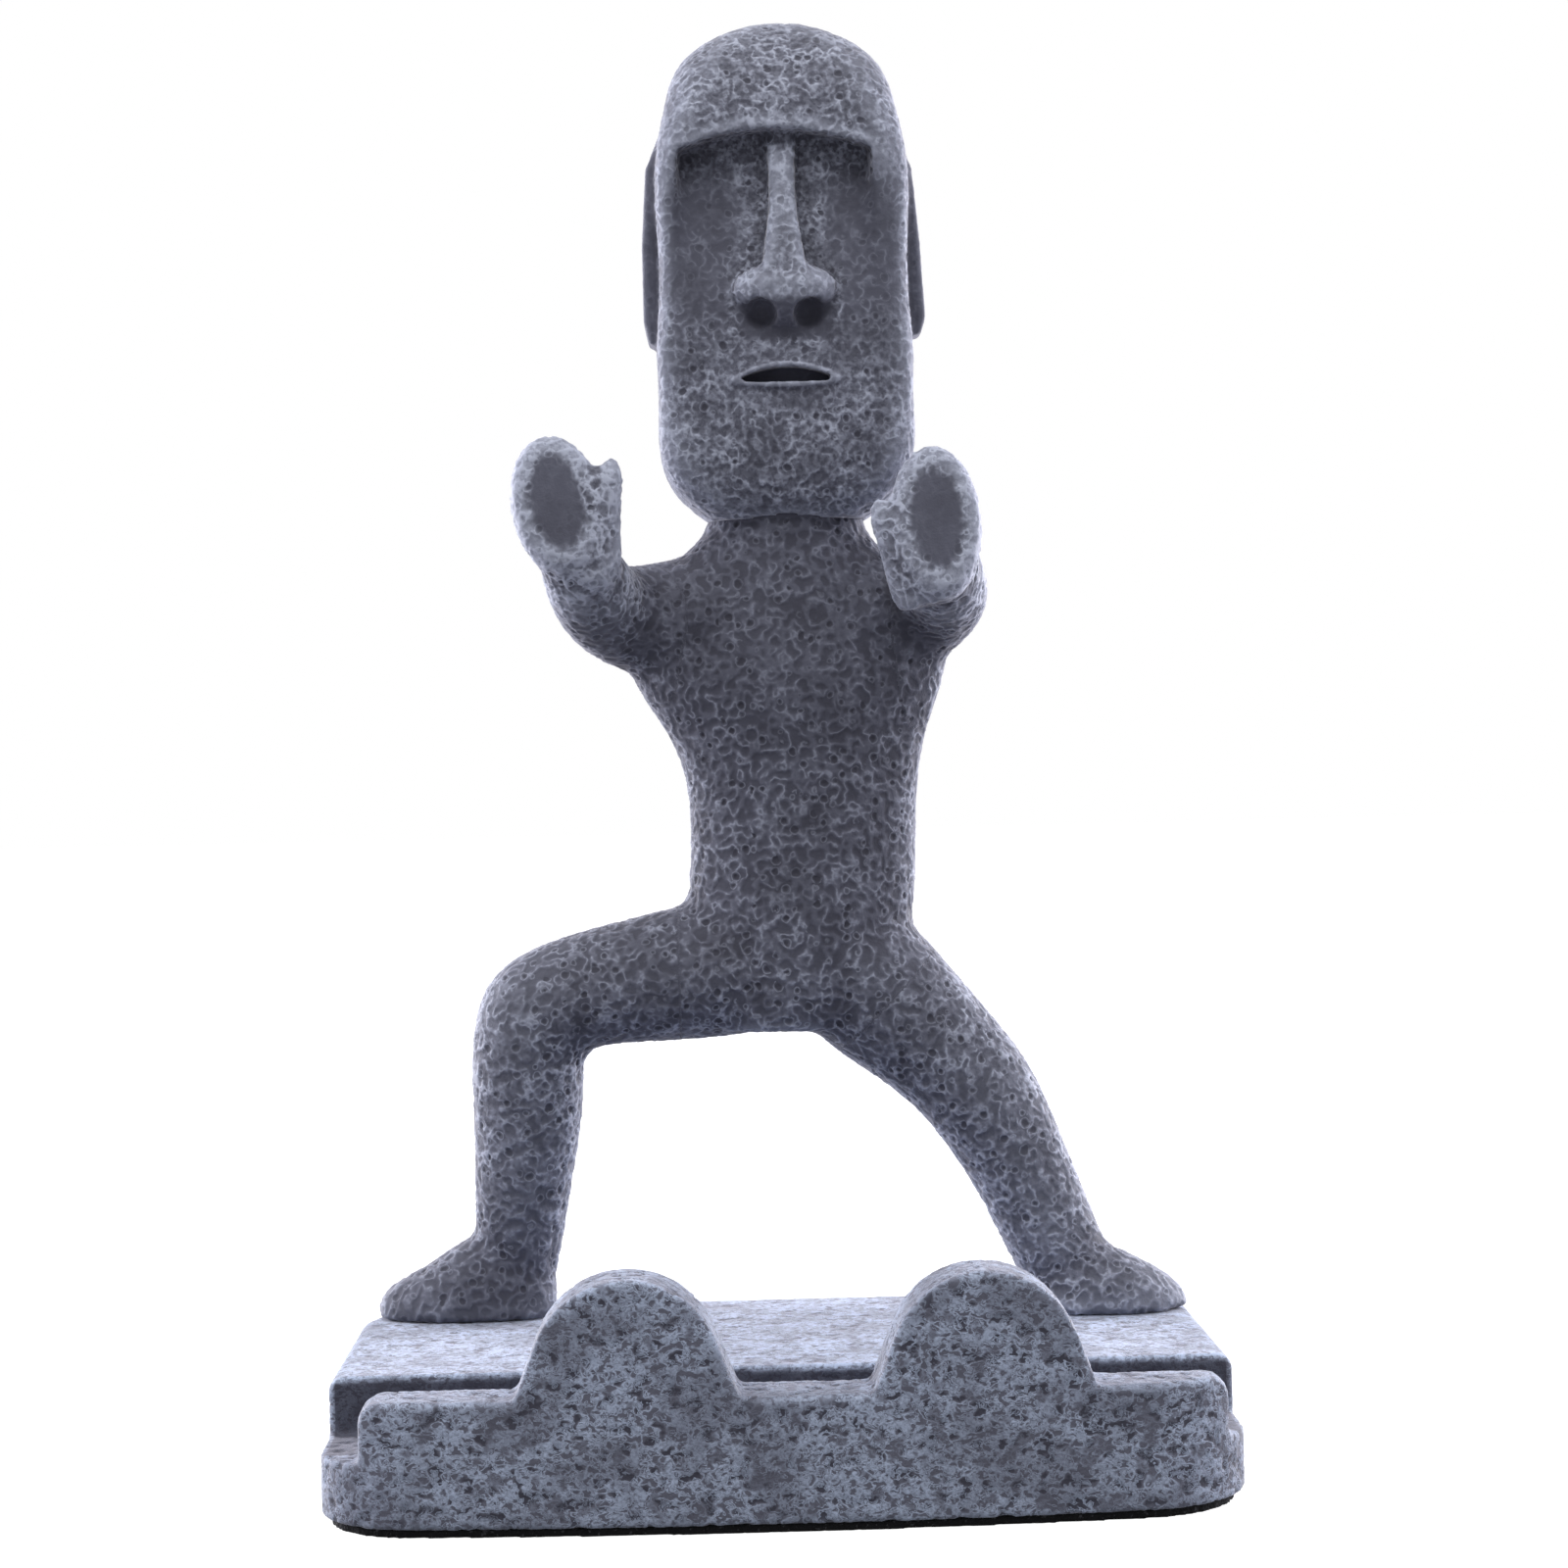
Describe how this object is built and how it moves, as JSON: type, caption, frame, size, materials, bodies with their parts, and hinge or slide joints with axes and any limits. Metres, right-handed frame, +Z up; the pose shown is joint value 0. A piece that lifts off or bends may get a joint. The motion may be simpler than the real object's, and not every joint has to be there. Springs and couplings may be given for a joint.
{
  "type": "figure phone stand",
  "caption": "Stone-look phone stand: a long-headed figure in a wide stance on a slotted block, palms raised to hold up a leaning phone.",
  "frame": {"origin": "centre of the stand's underside, on the surface that it rests on", "axes": "+Z up; the figure faces -Y; +X is the figure's own left"},
  "size_m": [0.0996, 0.068, 0.1688],
  "materials": {
    "stone_resin": "filled resin cast with a pebbled surface, painted slate grey and dry-brushed pale blue-grey",
    "foam": "matt black non-slip foam",
    "steel": "plain drawn steel wire"
  },
  "bodies": {
    "root": {"arm_left": "stone_resin", "arm_left_pin": "steel", "arm_right": "stone_resin", "arm_right_pin": "steel", "base_block": "stone_resin", "head": "stone_resin", "leg_left": "stone_resin", "leg_left_rod": "steel", "leg_right": "stone_resin", "leg_right_rod": "steel", "neck_pin": "steel", "non_slip_pad": "foam", "torso": "stone_resin"}
  },
  "joints": []
}
